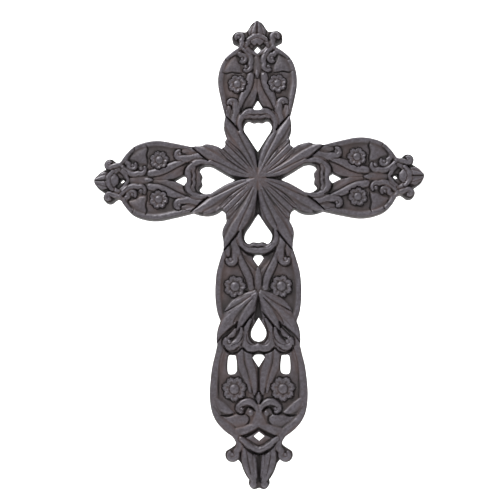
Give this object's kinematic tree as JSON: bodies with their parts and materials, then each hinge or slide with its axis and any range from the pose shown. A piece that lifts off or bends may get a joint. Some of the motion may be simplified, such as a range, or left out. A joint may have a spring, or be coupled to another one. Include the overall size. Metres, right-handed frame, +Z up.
{
  "type": "cast iron wall cross",
  "caption": "Pierced cast iron wall cross with scroll medallions, rosettes, acanthus and a central star of leaves, flat at the back.",
  "frame": {"origin": "on the flat back, behind the middle of the star where the arms cross", "axes": "+X to the viewer's right along the arms, +Z up the long limb, +Y out of the flat back into the wall; the carving faces -Y"},
  "size_m": [0.304, 0.0118, 0.4322],
  "materials": {
    "iron": "dark brown, satin cast surface"
  },
  "bodies": {
    "root": {"cross": "iron"}
  },
  "joints": []
}
